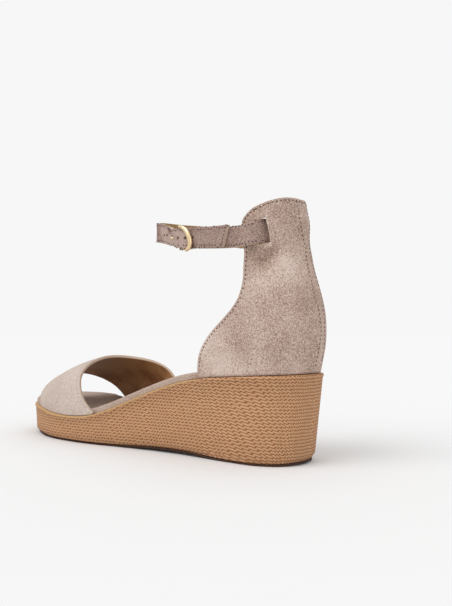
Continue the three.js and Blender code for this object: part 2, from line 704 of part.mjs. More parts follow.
// Buckle: a bent wire ring whose bar lies in the fold and whose rear arc lies over the tail
const RING = [
  { back: 0.0, up: 0.0 },
  { back: 0.0, up: 0.45 },
  { back: 0.0, up: 0.86 },
  { back: 0.06, up: 0.97 },
  { back: 0.16, up: 1.0 },
  { back: 0.42, up: 1.0 },
  { back: 0.7, up: 0.92 },
  { back: 0.88, up: 0.68 },
  { back: 0.97, up: 0.36 },
  { back: 1.0, up: 0.0 },
];
const ringSteps = 48;
const ringSides = 10;
function buckleRing() {
  const long = ringLength - (ringWire + ringFace) / 2;
  const high = strapWidth / 2 + ringPlay + ringWire / 2;
  const under = strapPoint(strapShare(barAlong - tailEnd - long), 0.5);
  const place = (row, side) =>
    new THREE.Vector3(
      mix(barOut, under.x + barRoom + ringLift, ease(0.05, 0.6, row.back)),
      -barAlong + row.back * long - ringLean * side * row.up * high,
      mix(strapMiddle, under.z, row.back) + side * row.up * high,
    );
  const line = new THREE.CatmullRomCurve3(
    [
      ...RING.map((row) => place(row, 1)),
      ...RING.slice(1, -1).reverse().map((row) => place(row, -1)),
    ],
    true,
  );
  const faceAt = (share) => mix(ringWire, ringFace, ease(0.5, 0.9, 1 - Math.abs(2 * share - 1)));
  return hoop(line, ringSteps, ringSides, ringWire, faceAt);
}

// A closed wire loop that lies against the strap, its outer face as wide as faceAt says.
function hoop(line, steps, sides, depth, faceAt) {
  const out = new THREE.Vector3(1, 0, 0);
  const points = [];
  const triangles = [];
  const corner = (i, k) => (i % steps) * sides + (k % sides);
  for (let i = 0; i < steps; i += 1) {
    const middle = line.getPointAt(i / steps);
    const across = line.getTangentAt(i / steps).cross(out).normalize();
    for (let k = 0; k < sides; k += 1) {
      const angle = (2 * Math.PI * k) / sides;
      const point = middle.clone().addScaledVector(out, (Math.cos(angle) * depth) / 2);
      points.push(point.addScaledVector(across, (Math.sin(angle) * faceAt(i / steps)) / 2));
      triangles.push([corner(i, k), corner(i, k + 1), corner(i + 1, k + 1)]);
      triangles.push([corner(i, k), corner(i + 1, k + 1), corner(i + 1, k)]);
    }
  }
  return shell(points, triangles);
}

// A round rod along a line, closed at both ends.
function rod(line, steps, width, sides) {
  const frames = line.computeFrenetFrames(steps, false);
  const points = [];
  const triangles = [];
  for (let i = 0; i <= steps; i += 1) {
    for (let k = 0; k < sides; k += 1) {
      const angle = (2 * Math.PI * k) / sides;
      points.push(
        line
          .getPointAt(i / steps)
          .addScaledVector(frames.normals[i], (Math.cos(angle) * width) / 2)
          .addScaledVector(frames.binormals[i], (Math.sin(angle) * width) / 2),
      );
    }
  }
  const corner = (i, k) => i * sides + (k % sides);
  for (let i = 0; i < steps; i += 1) {
    for (let k = 0; k < sides; k += 1) {
      triangles.push([corner(i, k), corner(i, k + 1), corner(i + 1, k + 1)]);
      triangles.push([corner(i, k), corner(i + 1, k + 1), corner(i + 1, k)]);
    }
  }
  for (let k = 1; k + 1 < sides; k += 1) {
    triangles.push([corner(0, 0), corner(0, k + 1), corner(0, k)]);
    triangles.push([corner(steps, 0), corner(steps, k), corner(steps, k + 1)]);
  }
  return shell(points, triangles);
}

// Prong: an eye most of the way round the bar, and a post out through the strap's pinned hole
const eyeSweep = 1.4 * Math.PI;
const eyeSteps = 8;
const prongSteps = 30;
const prongSides = 8;
function buckleProng() {
  const turns = Array.from({ length: eyeSteps + 1 }, (_, i) => leaveTurn - eyeSweep * (1 - i / eyeSteps));
  const run = pinned.clone().sub(prongLeave).normalize();
  const line = new THREE.CatmullRomCurve3([
    ...turns.map(eyePoint),
    pinned,
    pinned.clone().addScaledVector(run, prongTip),
  ]);
  return rod(line, prongSteps, prongWire, prongSides);
}

const pieces = [
  ["outsole", outsole, rubber],
  ["wedge", wedge(), braid],
  ["footbed", footbed(), paleSuede],
  ["vamp", vamp(), paleSuede],
  ["heel_counter", heelCounter(), suede],
  ["ankle_strap", ankleStrap(), suede],
  ["buckle_ring", buckleRing(), gilt],
  ["buckle_prong", buckleProng(), gilt],
];
const group = new THREE.Group();
for (const [name, geometry, material] of pieces) {
  const mesh = new THREE.Mesh(geometry, material);
  mesh.name = name;
  group.add(mesh);
}

// The origin is the middle of the footprint's box, on the floor
const box = new THREE.Box3().setFromObject(group);
const centre = box.getCenter(new THREE.Vector3());
for (const mesh of group.children) mesh.position.set(-centre.x, -centre.y, -box.min.z);

export default group;
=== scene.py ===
# Looks for a left-foot wedge sandal: braid-wrapped wedge, suede vamp, high suede counter and ankle strap.
import bisect
import math

import bmesh
import bpy
from mathutils import Matrix, Vector
from mathutils.bvhtree import BVHTree
from mathutils.kdtree import KDTree


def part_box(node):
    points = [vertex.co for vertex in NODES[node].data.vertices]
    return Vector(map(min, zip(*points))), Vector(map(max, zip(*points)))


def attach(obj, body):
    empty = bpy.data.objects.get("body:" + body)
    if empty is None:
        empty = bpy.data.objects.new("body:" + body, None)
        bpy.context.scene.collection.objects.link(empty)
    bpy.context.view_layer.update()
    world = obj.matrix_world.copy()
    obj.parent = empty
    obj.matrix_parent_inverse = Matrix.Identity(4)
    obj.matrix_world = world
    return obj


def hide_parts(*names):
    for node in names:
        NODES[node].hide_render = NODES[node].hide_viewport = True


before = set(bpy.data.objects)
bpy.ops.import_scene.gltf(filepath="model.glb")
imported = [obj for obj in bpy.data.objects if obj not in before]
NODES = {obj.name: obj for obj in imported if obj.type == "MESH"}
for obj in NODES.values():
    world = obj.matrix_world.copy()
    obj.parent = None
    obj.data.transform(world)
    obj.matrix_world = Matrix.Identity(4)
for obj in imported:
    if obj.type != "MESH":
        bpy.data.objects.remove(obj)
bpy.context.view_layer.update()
MM = 0.001

# Camera: where the picture was taken from, in the part's frame
PICTURE_WIDTH, PICTURE_HEIGHT = 452, 606
CAMERA_PLACE = Vector((315.2, 319.4, 74.6)) * MM
CAMERA_AZIMUTH = math.radians(129.6)
CAMERA_TILT = math.radians(2.64)
FOCAL_PIXELS = 650
SENSOR = 36
NEAREST_SEEN = 0.02

# Metres to the shoe along a line of sight that just misses it
SHOE_DISTANCE = 0.38

camera_data = bpy.data.cameras.new("camera")
camera_data.sensor_width = SENSOR
camera_data.lens = FOCAL_PIXELS * SENSOR / max(PICTURE_WIDTH, PICTURE_HEIGHT)
camera_data.clip_start = NEAREST_SEEN
camera = bpy.data.objects.new("camera", camera_data)
looking = Vector(
    (
        -math.sin(CAMERA_AZIMUTH) * math.cos(CAMERA_TILT),
        math.cos(CAMERA_AZIMUTH) * math.cos(CAMERA_TILT),
        math.sin(CAMERA_TILT),
    )
)
camera.location = CAMERA_PLACE
camera.rotation_euler = looking.to_track_quat("-Z", "Y").to_euler()
bpy.context.scene.collection.objects.link(camera)
bpy.context.scene.camera = camera


def under_pixel(surface, x, y):
    """Place where the line of sight through a pixel of the picture meets a surface, or passes nearest."""
    sight = Vector((x - PICTURE_WIDTH / 2, PICTURE_HEIGHT / 2 - y, -FOCAL_PIXELS))
    sight = camera.rotation_euler.to_matrix() @ sight.normalized()
    met = surface.ray_cast(CAMERA_PLACE, sight)[0]
    return met or surface.find_nearest(CAMERA_PLACE + sight * SHOE_DISTANCE)[0]


# Materials
def srgb(code):
    """Linear colour, with alpha, of an sRGB hex value."""
    parts = [int(code[i : i + 2], 16) / 255 for i in (1, 3, 5)]
    return [c / 12.92 if c <= 0.04045 else ((c + 0.055) / 1.055) ** 2.4 for c in parts] + [1.0]


def add(tree, kind, feeds=(), stops=(), **settings):
    """Adds a node. Feeds go to its inputs, in order or by name: values, sockets or nodes' first outputs."""
    node = tree.nodes.new(kind)
    for key, value in settings.items():
        setattr(node, key, value)
    for key, feed in feeds.items() if isinstance(feeds, dict) else enumerate(feeds):
        if isinstance(feed, bpy.types.Node):
            feed = feed.outputs[0]
        if isinstance(feed, bpy.types.NodeSocket):
            tree.links.new(feed, node.inputs[key])
        else:
            node.inputs[key].default_value = feed
    for number, (place, code) in enumerate(stops):
        elements = node.color_ramp.elements
        element = elements[number] if number < len(elements) else elements.new(place)
        element.position = place
        element.color = srgb(code)
    return node


def material(name, colour, roughness, **shader):
    """A material whose steady values are set on its Principled shader itself."""
    made = bpy.data.materials.new(name)
    made.use_nodes = True
    bsdf = made.node_tree.nodes["Principled BSDF"]
    bsdf.inputs["Base Color"].default_value = srgb(colour)
    bsdf.inputs["Roughness"].default_value = roughness
    for key, value in shader.items():
        bsdf.inputs[key.replace("_", " ")].default_value = value
    return made, made.node_tree, bsdf


# Kinds of node
MATH = "ShaderNodeMath"
NOISE = "ShaderNodeTexNoise"
BUMP = "ShaderNodeBump"
RAMP = "ShaderNodeValToRGB"
PLACE = "ShaderNodeTexCoord"
STORED = "ShaderNodeAttribute"

# Suede. Real nap is 0.2 mm long; it is drawn 0.6 mm wide, in tufts, so that it shows at this distance
NAP_WIDTH = 0.6 * MM
TUFT_WIDTH = 1.3 * MM
NAP_PATCH = 24 * MM
STRAP_PATCH = 15 * MM
NAP_DEPTH = 0.4 * MM
NAP_SHARE = 0.7
TUFT_SHARE = 0.3
SPECKLE_GAIN = 1.2
PATCH_GAIN = 0.3
SUEDE_SHIFT = 0.25
SUEDE_STOPS = (0.3, 0.5, 0.7)


def suede(name, deep, middle, pale, patch=NAP_PATCH):
    """Brushed split leather: its short nap scatters light, so it looks dull, soft and faintly patchy."""
    made, tree, bsdf = material(
        name, middle, roughness=0.96, Sheen_Weight=0.12, Sheen_Roughness=0.5, Specular_IOR_Level=0.12
    )
    bsdf.inputs["Sheen Tint"].default_value = srgb(pale)
    place = add(tree, PLACE).outputs["Object"]
    nap_and_painted_light = add(tree, NOISE, {"Vector": place, "Scale": 1 / NAP_WIDTH, "Detail": 1.0, "Roughness": 0.6})
    tufts = add(tree, NOISE, {"Vector": place, "Scale": 1 / TUFT_WIDTH, "Detail": 1.0, "Roughness": 0.6})
    patches = add(tree, NOISE, {"Vector": place, "Scale": 1 / patch, "Detail": 3.0, "Roughness": 0.5})
    # Painted light and shade, stored on the piece's corners as its tone
    painted_tone = add(tree, STORED, attribute_name="tone").outputs["Fac"]
    speckle = add(tree, MATH, (tufts, TUFT_SHARE), operation="MULTIPLY")
    speckle = add(tree, MATH, (nap_and_painted_light, NAP_SHARE, speckle), operation="MULTIPLY_ADD")
    tone = add(tree, MATH, (speckle, SPECKLE_GAIN, painted_tone), operation="MULTIPLY_ADD")
    tone = add(tree, MATH, (patches, PATCH_GAIN, tone), operation="MULTIPLY_ADD")
    tone = add(tree, MATH, (tone, SUEDE_SHIFT), operation="SUBTRACT")
    colour = add(tree, RAMP, (tone,), zip(SUEDE_STOPS, (deep, middle, pale)))
    bump = add(tree, BUMP, {"Strength": 0.8, "Distance": NAP_DEPTH, "Height": speckle})
    tree.links.new(colour.outputs["Color"], bsdf.inputs["Base Color"])
    tree.links.new(bump.outputs["Normal"], bsdf.inputs["Normal"])
    return made


# Lining leather. Real pores are 0.3 mm apart; they are drawn 1.1 mm apart so that they show
PORE_PITCH = 1.1 * MM
PORE_DEPTH = 0.15 * MM
PORE_GAIN = 0.25
LINING_PATCH = 16 * MM
LINING_STOPS = (0.4, 0.9)


def lining(name, deep, pale):
    """Smooth lining leather: a low shine broken by fine pores, in slightly uneven dye."""
    made, tree, bsdf = material(name, deep, roughness=0.6, Specular_IOR_Level=0.3)
    place = add(tree, PLACE).outputs["Object"]
    pores = add(tree, "ShaderNodeTexVoronoi", {"Vector": place, "Scale": 1 / PORE_PITCH})
    dye = add(tree, NOISE, {"Vector": place, "Scale": 1 / LINING_PATCH, "Detail": 3.0})
    # Painted light and shade, stored on the piece's corners as its tone
    painted_tone = add(tree, STORED, attribute_name="tone").outputs["Fac"]
    tone = add(tree, MATH, (pores, PORE_GAIN, dye), operation="MULTIPLY_ADD")
    tone = add(tree, MATH, (tone, painted_tone), operation="ADD")
    colour = add(tree, RAMP, (tone,), zip(LINING_STOPS, (deep, pale)))
    bump = add(tree, BUMP, {"Strength": 0.25, "Distance": PORE_DEPTH, "Height": pores})
    tree.links.new(colour.outputs["Color"], bsdf.inputs["Base Color"])
    tree.links.new(bump.outputs["Normal"], bsdf.inputs["Normal"])
    return made


# Braid: rows of twisted cord laid side by side, each strand dropping slowly and rising fast along its row
ROW_PITCH = 1.9 * MM
STRAND_PITCH = 4.7 * MM
DROP_SHARE = 0.68
SWING = 0.5
SLANT = 0.3
WANDER = 11 * MM
WANDER_TURNS = 1.2
SWAY = 14 * MM
SWAY_ROWS = 0.5
FIBRE = 0.5 * MM
FIBRE_GAIN = 0.3
SHADE_PATCH = 5 * MM
SHADE_GAIN = 0.35
STRAND_ROUNDNESS = 0.6
DIVE_STEEPNESS = 3.0
DIVE_DEPTH = 0.1
DROP_RISE = 0.1
BRAID_DEPTH = 0.5 * MM
# Cord colours: painted shade at the dark end, painted light at the pale end
CORD_LIGHT_AND_SHADE_STOPS = [(0.0, "#724122"), (0.35, "#99653A"), (0.7, "#AF7F5A"), (1.0, "#C29975")]
BRAID_TAPE = "#B69165"


def braid():
    """Twisted-cord braid: strands painted pale on their backs as painted light, and dark where they dive
    under their neighbours and between rows as painted shade.

    The map "wrap" holds metres round the wedge and up its side, and "tape" marks its rim.
    """
    made, tree, bsdf = material("twisted_cord_braid", "#B58A62", roughness=0.75, Specular_IOR_Level=0.25)
    flat = add(tree, "ShaderNodeUVMap", uv_map="wrap")
    split = add(tree, "ShaderNodeSeparateXYZ", (flat,))
    along, up = split.outputs["X"], split.outputs["Y"]
    wander = add(tree, NOISE, {"Vector": flat, "Scale": 1 / WANDER, "Detail": 1.0})
    sway = add(tree, NOISE, {"Vector": flat, "Scale": 1 / SWAY, "Detail": 1.0})
    fibre = add(tree, NOISE, {"Vector": flat, "Scale": 1 / FIBRE})
    shade = add(tree, NOISE, {"Vector": flat, "Scale": 1 / SHADE_PATCH})

    # Share of one strand's length, from its top to the next strand's top
    turns = add(tree, MATH, (wander, WANDER_TURNS, -WANDER_TURNS / 2), operation="MULTIPLY_ADD")
    turns = add(tree, MATH, (along, 1 / STRAND_PITCH, turns), operation="MULTIPLY_ADD")
    turns = add(tree, MATH, (up, SLANT / ROW_PITCH, turns), operation="MULTIPLY_ADD")
    part = add(tree, MATH, (turns,), operation="FRACT")

    # Place across the row, which swings with the strand
    drop = add(tree, MATH, (part, -2 / DROP_SHARE, 1.0), operation="MULTIPLY_ADD")
    rise = add(tree, MATH, (part, 2 / (1 - DROP_SHARE), 1 - 2 / (1 - DROP_SHARE)), operation="MULTIPLY_ADD")
    swing = add(tree, MATH, (drop, rise), operation="MAXIMUM")
    height = add(tree, MATH, (sway, SWAY_ROWS), operation="MULTIPLY")
    height = add(tree, MATH, (swing, -SWING / 2, height), operation="MULTIPLY_ADD")
    height = add(tree, MATH, (up, 1 / ROW_PITCH, height), operation="MULTIPLY_ADD")
    height = add(tree, MATH, (height,), operation="FRACT")
    across = add(tree, MATH, (height, math.pi), operation="MULTIPLY")
    across = add(tree, MATH, (across,), operation="SINE")

    # Round back of the strand, lower at both ends where it dives
    dive = add(tree, MATH, (drop,), operation="ABSOLUTE")
    dive = add(tree, MATH, (dive, 1.0), operation="MINIMUM")
    dive = add(tree, MATH, (dive, DIVE_STEEPNESS), operation="POWER")
    strand = add(tree, MATH, (across, STRAND_ROUNDNESS), operation="POWER")
    strand = add(tree, MATH, (dive, -DIVE_DEPTH, strand), operation="MULTIPLY_ADD")
    dropping = add(tree, MATH, (part, DROP_SHARE), operation="LESS_THAN")
    strand = add(tree, MATH, (dropping, DROP_RISE, strand), operation="MULTIPLY_ADD")
    tone = add(tree, MATH, (fibre, FIBRE_GAIN, strand), operation="MULTIPLY_ADD")
    tone = add(tree, MATH, (shade, SHADE_GAIN, tone), operation="MULTIPLY_ADD")
    tone = add(tree, MATH, (tone, (FIBRE_GAIN + SHADE_GAIN) / 2), operation="SUBTRACT")
    # The strand's height sets its colour: painted shade in its dives and between rows, painted light on its
    # back
    cord = add(tree, RAMP, (tone,), CORD_LIGHT_AND_SHADE_STOPS)

    tape = add(tree, STORED, attribute_name="tape").outputs["Fac"]
    taped = add(tree, MATH, (tape, 0.0), operation="GREATER_THAN")
    colour = add(tree, "ShaderNodeMix", {0: taped, 6: cord, 7: srgb(BRAID_TAPE)}, data_type="RGBA")
    surface = add(tree, MATH, (strand, taped), operation="MAXIMUM")
    bump = add(tree, BUMP, {"Strength": 0.8, "Distance": BRAID_DEPTH, "Height": surface})
    tree.links.new(colour.outputs[2], bsdf.inputs["Base Color"])
    tree.links.new(bump.outputs["Normal"], bsdf.inputs["Normal"])
    return made


# Fibre marks of edges, thread and rubber
COARSE_GRAIN = 0.8 * MM
FINE_GRAIN = 0.3 * MM
GRAIN_DEPTH = 0.15 * MM


def even(name, colour, roughness, grain=COARSE_GRAIN, specular=0.25):
    """One even tone whose slight marks keep its highlight soft, as on a cut edge, thread or rubber."""
    made, tree, bsdf = material(name, colour, roughness, Specular_IOR_Level=specular)
    place = add(tree, PLACE).outputs["Object"]
    fibres = add(tree, NOISE, {"Vector": place, "Scale": 1 / grain})
    bump = add(tree, BUMP, {"Strength": 0.3, "Distance": GRAIN_DEPTH, "Height": fibres})
    tree.links.new(bump.outputs["Normal"], bsdf.inputs["Normal"])
    return made


# Brushed suede of the counter, the strap, the vamp and the footbed: rosy, darker, palest and a little
# darker than the vamp
ROSE_SUEDE = suede("rose_taupe_suede", "#7D665B", "#AB9386", "#CDBBB0")
STRAP_SUEDE = suede("strap_suede", "#6D5951", "#91796F", "#B19C93", STRAP_PATCH)
PALE_SUEDE = suede("pale_suede", "#A59488", "#BBABA1", "#CFC3BA")
INSOLE_SUEDE = suede("insole_suede", "#998375", "#AD988B", "#BFADA1")

# Dyed and rolled pigskin: a warm, faintly shining inside
BROWN_LINING = lining("brown_lining_leather", "#693916", "#9C734A")
TAN_LINING = lining("tan_lining_leather", "#896B44", "#A8885D")
BRAID = braid()

# Raw cut leather, moulded rubber and spun thread: all dull, told apart by tone; the dark punched colour is
# painted shadow inside holes
CUT_EDGE = even("cut_suede_edge", "#BBA592", roughness=0.9)
SOLE_RUBBER = even("brown_sole_rubber", "#3E2518", roughness=0.75, specular=0.35)
THREAD = even("brown_thread", "#46342C", roughness=0.85, grain=FINE_GRAIN)
PAINTED_HOLE_SHADOW = even("painted_shadow_in_holes", "#2E211B", roughness=0.9)
PALE_THREAD = even("pale_thread", "#A5938A", roughness=0.85, grain=FINE_GRAIN)

# Gilt and polished wire: mirrors the pale room as warm light bands between dark bends
GILT = material("polished_gilt", "#E8CDA2", roughness=0.24, Metallic=1.0)[0]


# Meshes: how near corners are joined, and how flat and square a pair of triangles is joined
WELD = 0.002 * MM
JOIN_ANGLE = 0.6
JOIN_SHAPE = 0.9


def link(name, mesh):
    """A new piece that rides on the shoe."""
    piece = bpy.data.objects.new(name, mesh)
    bpy.context.scene.collection.objects.link(piece)
    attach(piece, "root")
    return piece


def own_mesh(name, node):
    """A piece whose mesh starts as the CAD node's, with its triangles joined at their shared corners."""
    bm = bmesh.new()
    bm.from_mesh(NODES[node].data)
    bmesh.ops.remove_doubles(bm, verts=bm.verts, dist=WELD)
    bmesh.ops.join_triangles(
        bm, faces=bm.faces, angle_face_threshold=JOIN_ANGLE, angle_shape_threshold=JOIN_SHAPE
    )
    mesh = bpy.data.meshes.new(name)
    bm.to_mesh(mesh)
    bm.free()
    piece = link(name, mesh)
    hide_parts(node)
    return piece


def reshape(piece, change):
    """Runs a change on a piece's mesh as a bmesh."""
    bm = bmesh.new()
    bm.from_mesh(piece.data)
    change(bm)
    bm.to_mesh(piece.data)
    bm.free()


def apply_modifier(piece, kind, **settings):
    """Applies one modifier to the piece's mesh."""
    modifier = piece.modifiers.new("finish", kind)
    for key, value in settings.items():
        setattr(modifier, key, value)
    graph = bpy.context.evaluated_depsgraph_get()
    mesh = bpy.data.meshes.new_from_object(piece.evaluated_get(graph))
    piece.modifiers.clear()
    piece.data = mesh


# Angles, in degrees, over which an edge is shaded sharp
LEATHER_FOLD = 60
CUT_CORNER = 50
SHEET_CORNER = 40
NO_CORNER = 180


def finish_mesh(piece, sharp_angle, *materials):
    """Puts the materials in the piece's slots and shades it smooth, save at sharp edges."""
    for finish in materials:
        piece.data.materials.append(finish)
    for face in piece.data.polygons:
        face.use_smooth = True
    piece.data.set_sharp_from_angle(angle=math.radians(sharp_angle))


def islands(bm, sharp):
    """Groups of faces that meet without a sharp edge, the largest first."""
    left = set(bm.faces)
    groups = []
    while left:
        todo = [left.pop()]
        group = []
        while todo:
            face = todo.pop()
            group.append(face)
            for edge in face.edges:
                if len(edge.link_faces) == 2 and edge.calc_face_angle() < sharp:
                    found = [other for other in edge.link_faces if other in left]
                    left.difference_update(found)
                    todo.extend(found)
        groups.append(group)
    return sorted(groups, key=lambda group: -sum(face.calc_area() for face in group))


# Sides of a leather wall, as places in its list of materials
OUTER, LINING, EDGE = 0, 1, 2
SHARP = math.radians(CUT_CORNER)


def leather_sides(bm, outward, crease_value):
    """Marks a wall's outer face, lining and cut edges, and creases the edges between them."""
    for number, group in enumerate(islands(bm, SHARP)):
        kind = EDGE
        is_face = number < 2
        if is_face:
            facing = sum(f.normal.dot(outward(f.calc_center_median())) * f.calc_area() for f in group)
            kind = OUTER if facing > 0 else LINING
        for face in group:
            face.material_index = kind
    crease = bm.edges.layers.float.new("crease_edge")
    for edge in bm.edges:
        if len({face.material_index for face in edge.link_faces}) > 1:
            edge[crease] = crease_value


def surface_of(piece, kinds=(OUTER,)):
    """Search tree over the piece's faces of some kinds."""
    mesh = piece.data
    faces = [face.vertices[:] for face in mesh.polygons if face.material_index in kinds]
    return BVHTree.FromPolygons([v.co.copy() for v in mesh.vertices], faces)


NO_LENGTH = 1e-12


def strokes_at(place, strokes):
    """Sum of soft strokes at a place: each is a start, an end, a width and an amount."""
    total = 0.0
    for start, end, width, amount in strokes:
        line = end - start
        share = max(0.0, min(1.0, (place - start).dot(line) / max(line.length_squared, NO_LENGTH)))
        gap = (place - start - line * share).length
        total += amount * math.exp(-((gap / width) ** 2))
    return total


def press(piece, outward, strokes):
    """Soft troughs and ridges: the amount of a stroke is its height out of the leather."""
    for vertex in piece.data.vertices:
        vertex.co += outward(vertex.co) * strokes_at(vertex.co, strokes)


def paint_light_and_shade(piece, strokes):
    """Painted light and shade: lighter and darker patches, as the tone that the suede adds to its own."""
    layer = piece.data.attributes.new("tone", "FLOAT", "POINT")
    for vertex, value in zip(piece.data.vertices, layer.data):
        value.value = strokes_at(vertex.co, strokes)


def drawn(surface, marks, scale):
    """Strokes on a surface, from the pixels at their ends, their width in millimetres and their amount."""
    return [
        (under_pixel(surface, *start), under_pixel(surface, *end), width * MM, amount * scale)
        for start, end, width, amount in marks
    ]


# Stitches
def border_runs(piece):
    """Closed runs of corners between the outer face and its cut edge, each with the way into the face."""
    mesh = piece.data
    kinds = {}
    for face in mesh.polygons:
        for key in face.edge_keys:
            kinds.setdefault(key, {})[face.material_index] = face
    beside, inward = {}, {}
    for key, found in kinds.items():
        if OUTER in found and EDGE in found:
            a, b = key
            beside.setdefault(a, []).append(b)
            beside.setdefault(b, []).append(a)
            for corner in key:
                inward.setdefault(corner, Vector())
                inward[corner] += found[OUTER].center - mesh.vertices[corner].co
    runs = []
    left = set(beside)
    while left:
        corner = left.pop()
        run = [corner]
        while True:
            ahead = [other for other in beside[run[-1]] if other in left]
            if not ahead:
                break
            run.append(ahead[0])
            left.discard(ahead[0])
        runs.append([(mesh.vertices[i].co.copy(), inward[i]) for i in run])
    return sorted(runs, key=run_length, reverse=True)


def run_length(run):
    """Length of a run from its first corner to its last."""
    return sum((a[0] - b[0]).length for a, b in zip(run, run[1:]))


SHORTEST_STEP = 1e-7
LONGEST_STEP = 40 * MM


def stitch_places(run, surface, inset, pitch, keep):
    """Places of stitches at an even pitch along a border, moved in by an inset: point, run and normal."""
    places = []
    travelled = 0.0
    due = 0.0
    count = len(run)
    for i in range(count):
        here, into = run[i]
        there = run[(i + 1) % count][0]
        way = there - here
        length = way.length
        if length < SHORTEST_STEP or length > LONGEST_STEP:
            continue
        along = way / length
        side = into - along * into.dot(along)
        while due <= travelled + length:
            spot = here + along * (due - travelled)
            due += pitch
            if not keep(spot):
                continue
            point, normal, _, _ = surface.find_nearest(spot + side.normalized() * inset)
            places.append((point, along, normal))
        travelled += length
    return places


STITCH_WIDTH = 0.7 * MM
STITCH_RISE = 0.25 * MM
BEAD_SEGMENTS = 6
BEAD_RINGS = 4


def stitches(name, places, length, thread, width=STITCH_WIDTH):
    """Short threads sunk half into the leather, one bead each, joined as one piece."""
    bm = bmesh.new()
    for point, along, normal in places:
        side = normal.cross(along).normalized()
        turn = Matrix((along, side, normal)).transposed().to_4x4()
        size = Matrix.Diagonal((length / 2, width / 2, STITCH_RISE, 1.0))
        place = Matrix.Translation(point) @ turn @ size
        bmesh.ops.create_uvsphere(
            bm, u_segments=BEAD_SEGMENTS, v_segments=BEAD_RINGS, radius=1.0, matrix=place
        )
    mesh = bpy.data.meshes.new(name)
    bm.to_mesh(mesh)
    bm.free()
    piece = link(name, mesh)
    finish_mesh(piece, NO_CORNER, thread)


# Heel counter, with a back strip lapped over its two quarters. It reaches further round on the inner side
HEEL_MIDDLE = Vector((-1.36, 95, 0)) * MM
STRIP_HEIGHT = 0.7 * MM
STRIP_STEP = 0.7 * MM
STRIP_LEAN = 5 * MM

# Edge of the back strip in the picture, as pixels from its top to its foot
STRIP_EDGE = [
    (293.6, 198.6),
    (297.9, 222.9),
    (303.6, 247.1),
    (310.7, 271.4),
    (318, 297),
    (319.5, 312),
    (319.3, 331.6),
    (317.5, 345.6),
    (313.8, 364),
    (311.5, 371),
]


def from_heel(place):
    """Level way out of the heel at a place: backwards behind its middle, sideways along the wings."""
    behind = max(place.y - HEEL_MIDDLE.y, 0.0)
    return Vector((place.x - HEEL_MIDDLE.x, behind, 0)).normalized()


# Creases that the picture shows, and light and shade painted on the suede: a pixel at each end, width in
# mm, height in mm or tone
COUNTER_CREASES = [
    ((249, 252), (268, 253), 4.5, -0.8),
    ((250, 276), (284, 248), 5, -0.8),
    ((212, 332), (282, 266), 7, 0.35),
    ((296, 300), (302, 312), 8, -0.3),
    ((267, 216), (271, 247), 1.3, 0.6),
]
# Painted light and shade: lighter on the lower counter, its middle ridge, the back strip's foot and the
# slit's rear lip; darker under the strap, in its creases and at the top
COUNTER_PAINTED_LIGHT_AND_SHADE = [
    ((250, 252), (262, 258), 5, -0.11),
    ((262, 262), (276, 250), 4, -0.08),
    ((256, 208), (290, 206), 7, -0.06),
    ((258, 287), (290, 268), 8, 0.13),
    ((208, 345), (222, 362), 11, 0.17),
    ((292, 300), (306, 326), 9, -0.03),
    ((321, 328), (319, 362), 4, 0.08),
    ((240, 372), (296, 372), 5, 0.05),
    ((224, 332), (242, 318), 7, 0.05),
    ((266.5, 217), (270.5, 246), 0.8, 0.16),
]

counter = own_mesh("suede_counter", "heel_counter")
reshape(counter, lambda bm: leather_sides(bm, from_heel, crease_value=0.6))
apply_modifier(counter, "SUBSURF", levels=2, render_levels=2)

skin = surface_of(counter)
strip_edge = [under_pixel(skin, *pixel) for pixel in STRIP_EDGE]
strip_edge = sorted((place.z, abs(place.x - HEEL_MIDDLE.x)) for place in strip_edge)


def strip_half(height):
    """Half the back strip's width at a height."""
    if height <= strip_edge[0][0]:
        return strip_edge[0][1]
    for (low, near), (high, far) in zip(strip_edge, strip_edge[1:]):
        if height <= high:
            return near + (far - near) * (height - low) / (high - low)
    return strip_edge[-1][1]


creases = drawn(skin, COUNTER_CREASES, MM)
nap_and_painted_light = drawn(skin, COUNTER_PAINTED_LIGHT_AND_SHADE, 1.0)

# The back strip lies proud of the quarters and steps down to them at its edge
kinds = {}
for face in counter.data.polygons:
    for corner in face.vertices:
        kinds.setdefault(corner, set()).add(face.material_index)
for vertex in counter.data.vertices:
    if OUTER in kinds[vertex.index] and vertex.co.y > HEEL_MIDDLE.y:
        off = vertex.co.x - HEEL_MIDDLE.x
        reach = strip_half(vertex.co.z) + (STRIP_LEAN if off < 0 else 0.0)
        inside = (reach - abs(off)) / STRIP_STEP + 0.5
        vertex.co += from_heel(vertex.co) * STRIP_HEIGHT * max(0.0, min(1.0, inside))
press(counter, from_heel, creases)

# The slits close round the strap at their top and foot
SLIT_CLOSING = 1.2 * MM
SLIT_END = 2 * MM
SLIT_SPREAD = 2.5 * MM
UP = Vector((0, 0, 1))
ends = []
for run in border_runs(counter)[1:]:
    for pick, way in ((max, -1), (min, 1)):
        level = pick(place.z for place, _ in run)
        end = [place for place, _ in run if abs(place.z - level) < SLIT_END]
        end.sort(key=lambda place: place.y)
        ends.append((end[0], end[-1], SLIT_SPREAD, way * SLIT_CLOSING))
press(counter, lambda place: UP, ends)
# Painted light and shade on the counter's suede and lining
paint_light_and_shade(counter, nap_and_painted_light)
finish_mesh(counter, LEATHER_FOLD, ROSE_SUEDE, TAN_LINING, CUT_EDGE)

skin = surface_of(counter)
RIM_TOP = 54 * MM
edge_stitches = stitch_places(
    border_runs(counter)[0], skin, inset=1.5 * MM, pitch=2.6 * MM, keep=lambda place: place.z > RIM_TOP
)
stitches("counter_edge_stitches", edge_stitches, length=1.5 * MM, thread=THREAD)

